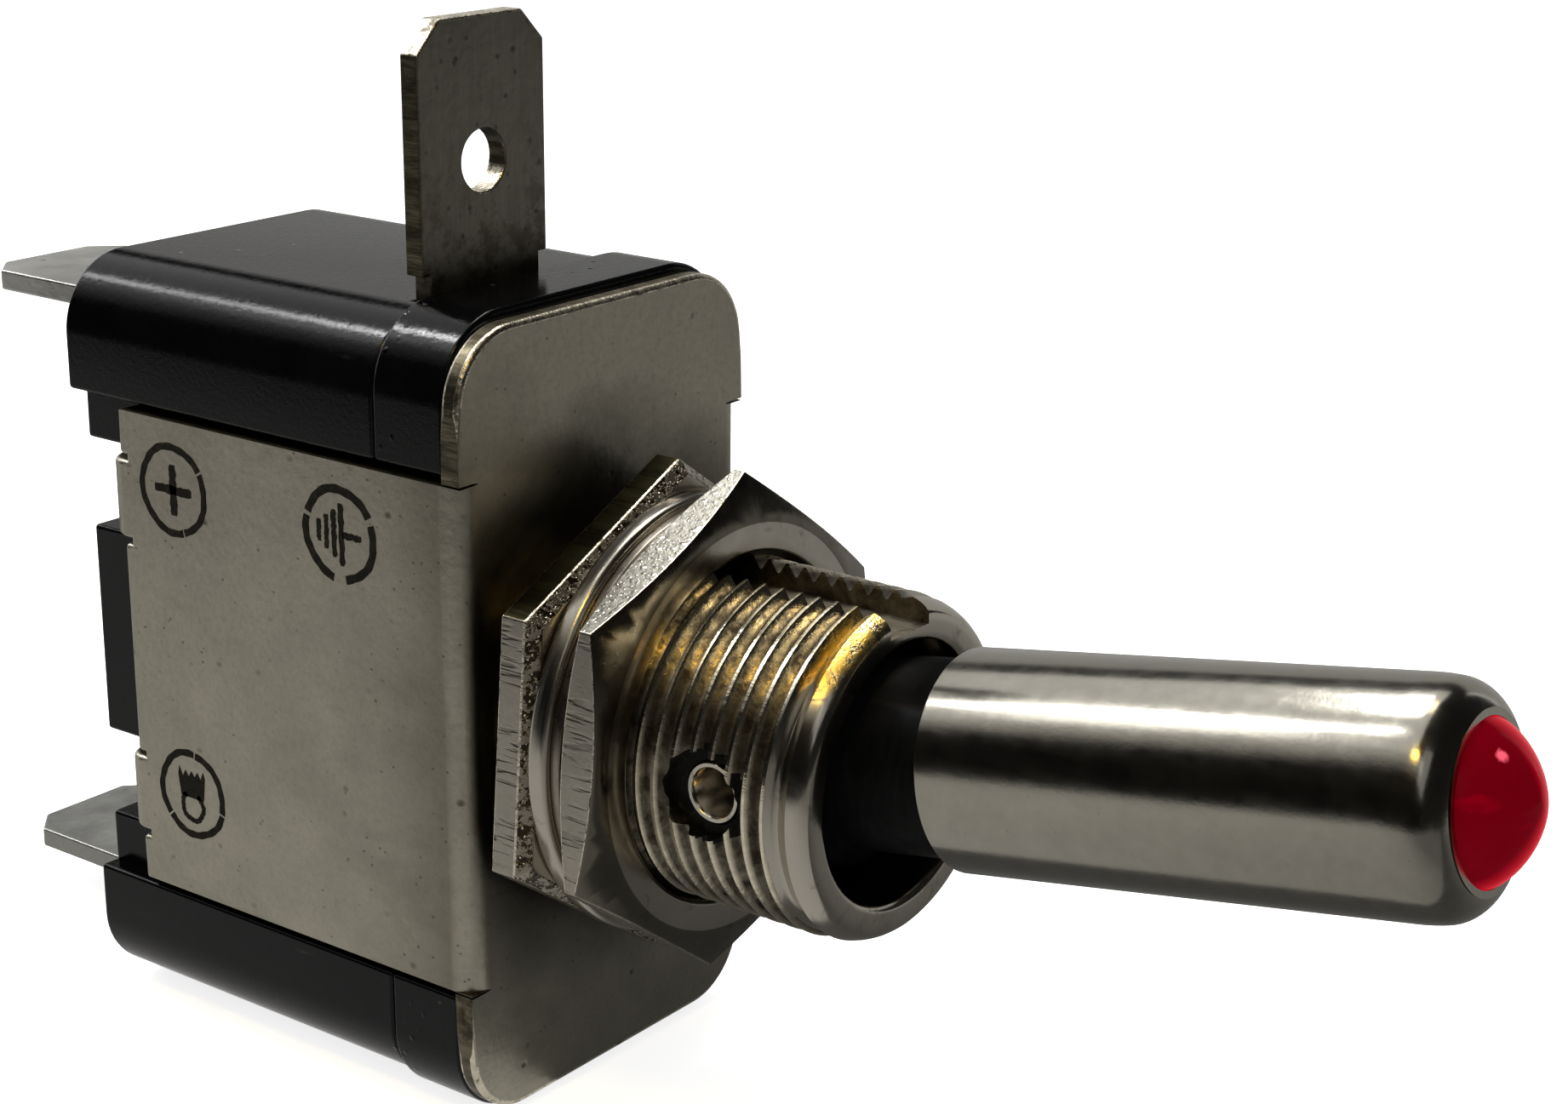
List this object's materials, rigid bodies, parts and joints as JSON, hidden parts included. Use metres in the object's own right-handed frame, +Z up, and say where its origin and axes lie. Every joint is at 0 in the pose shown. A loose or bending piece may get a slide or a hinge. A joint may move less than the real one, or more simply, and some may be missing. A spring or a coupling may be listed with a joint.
{
  "type": "panel toggle switch",
  "caption": "Automotive panel toggle switch with a lamp-tipped lever, threaded bushing with nuts, folded metal bracket, black housing and push-on blades.",
  "frame": {"origin": "on the bushing's axis, at the front face of the bracket's plate, which seats behind the panel", "axes": "-Y out along the bushing towards the lever, +X to the right seen from the front, +Z up towards the keyway and the ground blade"},
  "size_m": [0.0164, 0.0645, 0.0385],
  "materials": {
    "nickel_sheet": "satin, mottled nickel plating",
    "bakelite": "moulded, slightly glossy black",
    "bright_nickel": "bright nickel plating over turned brass",
    "satin_sleeve": "satin nickel",
    "lever_black": "satin black",
    "red_lens": "clear red lamp epoxy",
    "resistor": "fired coating",
    "tinned_wire": "tinned",
    "plunger_brass": "turned",
    "spring_steel": "drawn wire",
    "copper_alloy": "stamped copper alloy",
    "silver": "silver contact",
    "terminal_metal": "tin-plated blade",
    "ground_metal": "dull plated blade"
  },
  "bodies": {
    "body": {"bracket": "nickel_sheet", "front_cover": "bakelite", "base_housing": "bakelite", "threaded_bushing": "bright_nickel", "rear_nut": "bright_nickel", "flat_washer": "bright_nickel", "lock_washer": "spring_steel", "front_nut": "bright_nickel", "pivot_pin": "bright_nickel", "fixed_contact": "silver", "rocker_cradle": "copper_alloy", "supply_terminal": "terminal_metal", "load_terminal": "terminal_metal", "ground_terminal": "ground_metal", "supply_rivet": "plunger_brass", "load_rivet": "plunger_brass"},
    "lever": {"lever_core": "lever_black", "lever_sleeve": "satin_sleeve", "led": "red_lens", "led_resistor": "resistor", "anode_wire": "tinned_wire", "cathode_wire": "tinned_wire"},
    "plunger": {"plunger": "plunger_brass", "plunger_spring": "spring_steel"},
    "rocker": {"contact_rocker": "copper_alloy", "moving_contact": "silver"}
  },
  "joints": [
    {"name": "lever_pivot", "type": "hinge", "parent": "body", "child": "lever", "pos_m": [0, -0.0088, 0], "axis": [1, 0, 0], "range_deg": [0, 19.6]},
    {"name": "plunger_slide", "type": "slide", "parent": "lever", "child": "plunger", "axis": [0, -0.9854, 0.1702], "range_m": [0, 0.0005], "stiffness_N_per_m": 50, "springref_m": -0.002, "deforming": ["plunger_spring"]},
    {"name": "rocker_tilt", "type": "hinge", "parent": "body", "child": "rocker", "pos_m": [0, 0.0094, 0], "axis": [1, 0, 0], "range_deg": [-11, 0]}
  ],
  "couplings": [
    {"joint": "rocker_tilt", "follows": "lever_pivot", "ratio": -0.5612}
  ]
}
